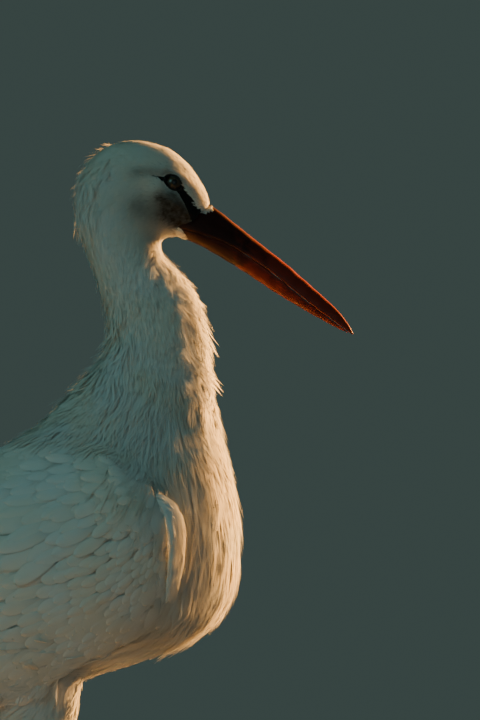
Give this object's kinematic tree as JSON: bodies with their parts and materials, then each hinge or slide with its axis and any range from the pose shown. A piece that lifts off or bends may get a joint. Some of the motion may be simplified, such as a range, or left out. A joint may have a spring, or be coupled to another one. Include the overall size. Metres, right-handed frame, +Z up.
{
  "type": "white stork model",
  "caption": "Life-size still model of a standing white stork, neck upright and bill lowered, with folded wings, on its own flat-soled feet.",
  "frame": {"origin": "on the floor, under the middle of the bird's length and in its middle plane", "axes": "+X the way the bird faces, +Y its left side, +Z up"},
  "size_m": [0.6766, 0.2006, 1.0004],
  "materials": {
    "plumage": "soft white feathers",
    "quills": "black flight feathers with a faint sheen",
    "bill": "smooth dark red horn",
    "leg": "scaly red skin",
    "eye": "wet dark brown eye",
    "claw": "dark horn"
  },
  "bodies": {
    "root": {"head": "plumage", "upper_bill": "bill", "lower_bill": "bill", "neck_upper": "plumage", "neck_middle": "plumage", "neck_lower": "plumage", "breast": "plumage", "trunk": "plumage", "tail": "plumage", "eye_l": "eye", "wing_coverts_l": "plumage", "wing_quills_l": "quills", "wing_tip_l": "quills", "thigh_l": "plumage", "tibia_l": "leg", "ankle_l": "leg", "tarsus_l": "leg", "foot_l": "leg", "toe_inner_l": "leg", "claw_inner_l": "claw", "toe_middle_l": "leg", "claw_middle_l": "claw", "toe_outer_l": "leg", "claw_outer_l": "claw", "toe_hind_l": "leg", "claw_hind_l": "claw", "eye_r": "eye", "wing_coverts_r": "plumage", "wing_quills_r": "quills", "wing_tip_r": "quills", "thigh_r": "plumage", "tibia_r": "leg", "ankle_r": "leg", "tarsus_r": "leg", "foot_r": "leg", "toe_inner_r": "leg", "claw_inner_r": "claw", "toe_middle_r": "leg", "claw_middle_r": "claw", "toe_outer_r": "leg", "claw_outer_r": "claw", "toe_hind_r": "leg", "claw_hind_r": "claw"}
  },
  "joints": []
}
